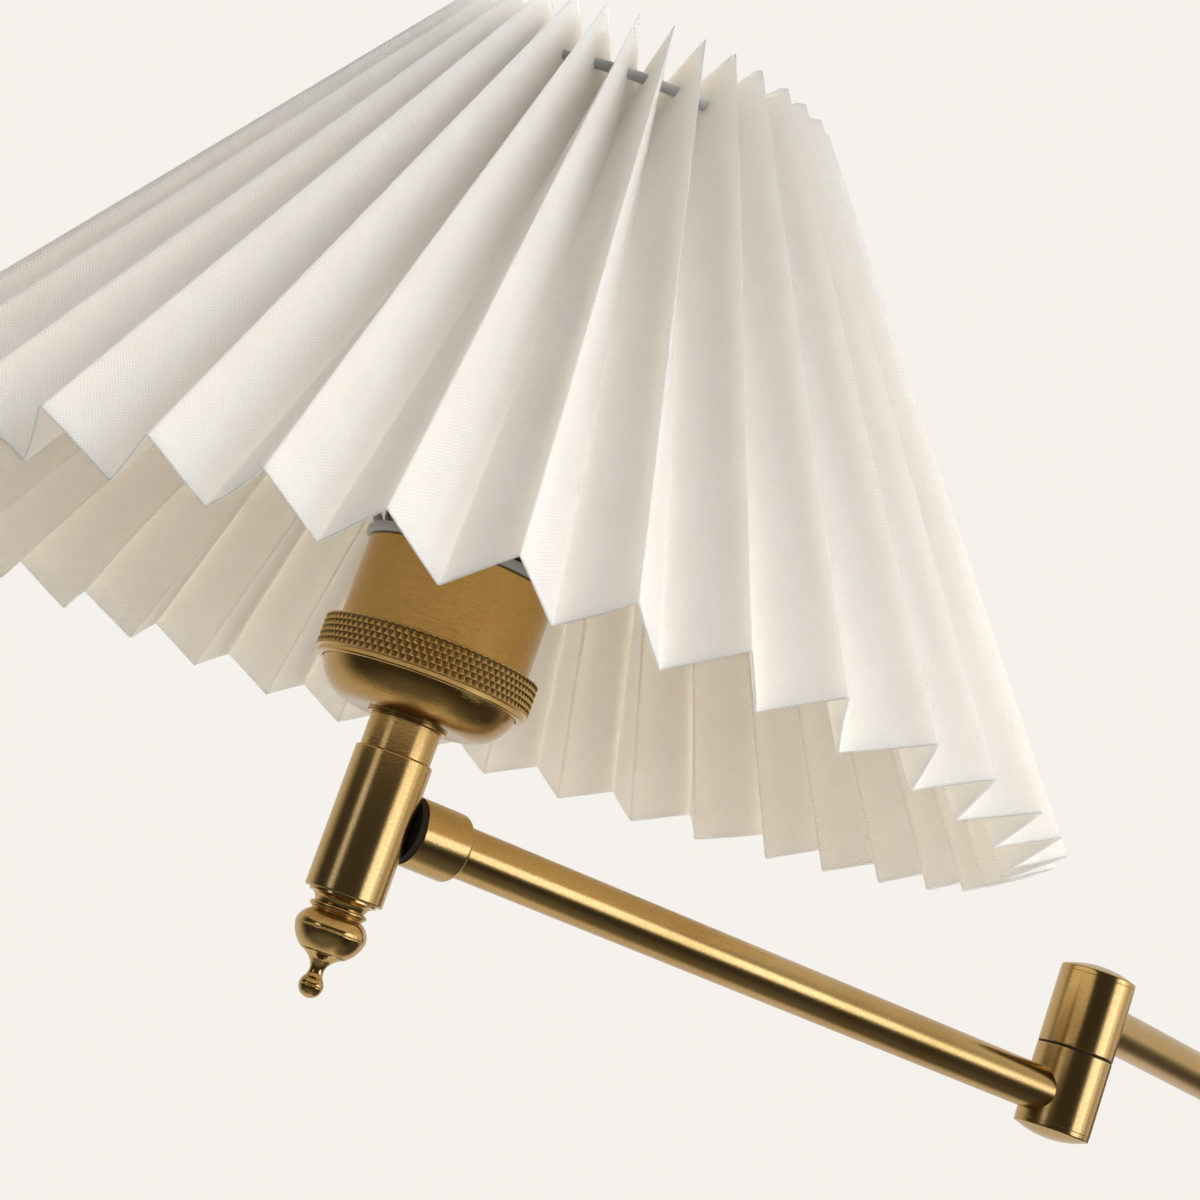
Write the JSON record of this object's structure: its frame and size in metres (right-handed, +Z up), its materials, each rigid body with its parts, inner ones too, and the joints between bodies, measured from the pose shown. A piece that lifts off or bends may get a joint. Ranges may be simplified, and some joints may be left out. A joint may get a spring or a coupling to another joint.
{
  "type": "articulating wall lamp",
  "caption": "Wall lamp on a two-section swing arm of round brass tube, with a turning lampholder and a conical pleated fabric shade open at both ends.",
  "frame": {"origin": "centre of the backplate on the wall plane, midway between the two wall screw slots", "axes": "+Z up, +Y into the wall, the lamp stands out along -Y, X to the side"},
  "size_m": [0.2648, 0.5824, 0.216],
  "materials": {
    "brass": "satin, brushed along and round the pieces, lightly aged",
    "inner_brass": "plain machined",
    "steel": "zinc plated",
    "fibre": "matt black",
    "porcelain": "glazed white",
    "lock_plastic": "dark grey, slightly worn",
    "white_wire": "light grey white coating",
    "shade_fabric": "fine off-white weave on a stiff backing",
    "bulb_metal": "plain",
    "bulb_glass": "opal white",
    "block_plastic": "moulded",
    "lead_insulation": "silicone sheath"
  },
  "bodies": {
    "wall_base": {"wall_bracket": "steel", "bracket_pillars": "steel", "backplate_screws": "brass", "backplate": "brass", "wall_stem": "brass", "stem_washer": "steel", "stem_nut": "inner_brass", "terminal_block": "block_plastic", "clamp_screws": "inner_brass", "earth_screw": "inner_brass", "earth_washer": "steel", "wall_knuckle_lower": "brass", "wall_cap_lower": "brass", "wall_spring_washer": "steel", "supply_leads": "lead_insulation"},
    "rear_arm_body": {"wall_knuckle_upper": "brass", "wall_cap_upper": "brass", "wall_pivot_bolt": "inner_brass", "wall_friction_washer": "fibre", "wall_lock_nut": "inner_brass", "rear_arm": "brass", "elbow_knuckle_upper": "brass", "elbow_cap_upper": "brass", "elbow_pivot_bolt": "inner_brass", "elbow_friction_washer": "fibre", "elbow_lock_nut": "inner_brass", "rear_arm_leads": "lead_insulation"},
    "front_arm_body": {"elbow_knuckle_lower": "brass", "elbow_cap_lower": "brass", "elbow_spring_washer": "steel", "front_arm": "brass", "swivel_collar": "brass", "swivel_stud": "inner_brass", "swivel_friction_washer": "fibre", "front_arm_leads": "lead_insulation"},
    "lamp_head": {"post": "brass", "swivel_spring_washer": "steel", "finial": "brass", "neck_sleeve": "brass", "neck_nipple": "inner_brass", "neck_nut": "inner_brass", "holder_dome": "brass", "knurled_ring": "brass", "holder_cup": "brass", "porcelain_core": "porcelain", "screw_shell": "inner_brass", "centre_contact": "inner_brass", "holder_terminals": "inner_brass", "lock_ring": "lock_plastic", "shade_frame": "white_wire", "pleated_shade": "shade_fabric", "bulb_cap": "bulb_metal", "bulb_glass": "bulb_glass", "holder_leads": "lead_insulation"}
  },
  "joints": [
    {"name": "wall_swing", "type": "hinge", "parent": "wall_base", "child": "rear_arm_body", "pos_m": [0, -0.052, 0], "axis": [0, 0, 1], "range_deg": [-85, 85]},
    {"name": "elbow_swing", "type": "hinge", "parent": "rear_arm_body", "child": "front_arm_body", "pos_m": [0, -0.252, 0], "axis": [0, 0, 1], "range_deg": [-94, 126]},
    {"name": "head_tilt", "type": "hinge", "parent": "front_arm_body", "child": "lamp_head", "pos_m": [-0.05678, -0.45002, 0], "axis": [0.2756, 0.9613, 0], "range_deg": [-80, 80]}
  ]
}
